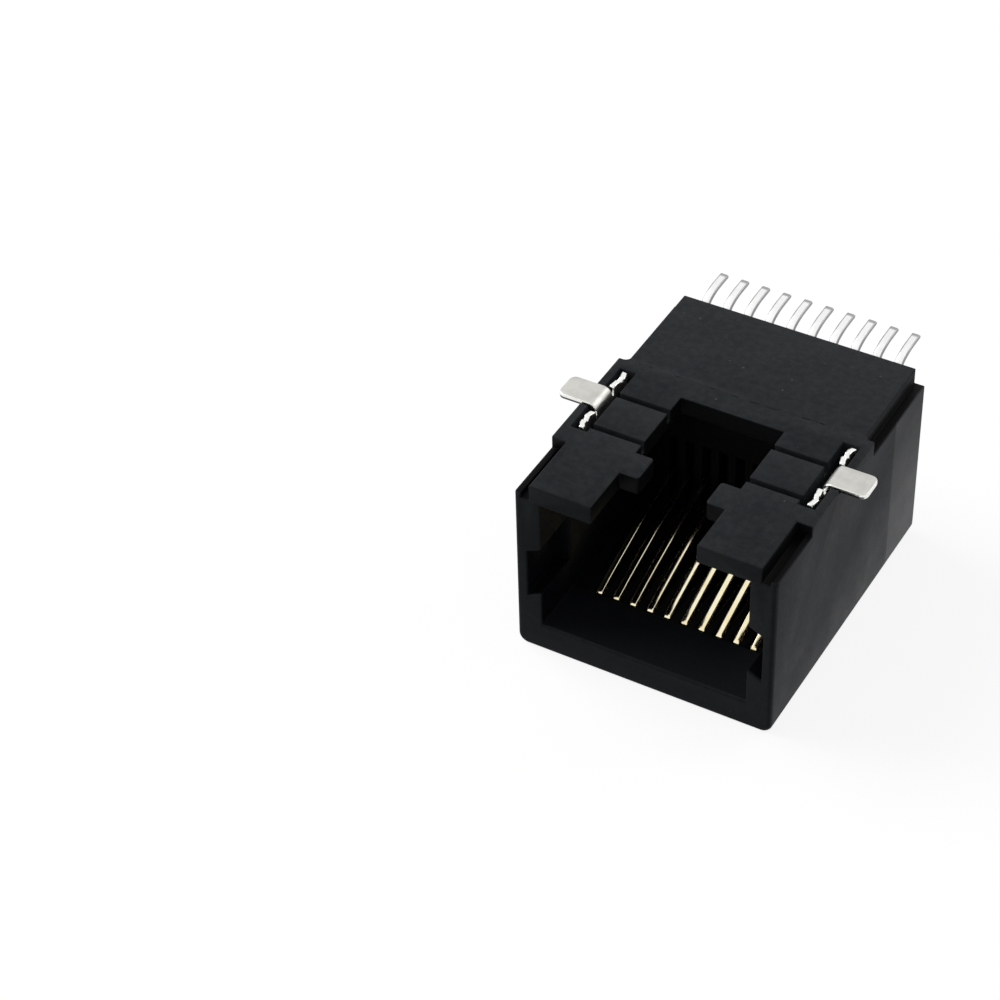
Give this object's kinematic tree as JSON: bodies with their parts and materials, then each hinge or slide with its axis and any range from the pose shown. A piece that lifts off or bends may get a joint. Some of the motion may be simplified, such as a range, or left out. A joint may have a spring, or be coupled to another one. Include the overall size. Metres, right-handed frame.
{
  "type": "modular jack",
  "caption": "Surface-mount modular jack on its plain face: black moulded housing, open plug port, split deck with latch slot and catches, sprung contacts, solder tails and side tabs.",
  "frame": {"origin": "centre of the plain moulded face that the jack lies on", "axes": "+Y from the plug port to the rear, +Z from the plain face to the solder side, +X to the right when looking into the port"},
  "size_m": [0.0176, 0.0204, 0.0113],
  "materials": {
    "housing_plastic": "fine matt moulded black",
    "carrier_plastic": "matt moulded black",
    "contact_metal": "pale gold plating on the beams, bright tin on the tails",
    "tinned_metal": "satin tin plating"
  },
  "bodies": {
    "root": {"housing": "housing_plastic", "contact_carrier": "carrier_plastic", "contact_01": "contact_metal", "contact_02": "contact_metal", "contact_03": "contact_metal", "contact_04": "contact_metal", "contact_05": "contact_metal", "contact_06": "contact_metal", "contact_07": "contact_metal", "contact_08": "contact_metal", "contact_09": "contact_metal", "contact_10": "contact_metal", "hold_down_left": "tinned_metal", "hold_down_right": "tinned_metal"}
  },
  "joints": []
}
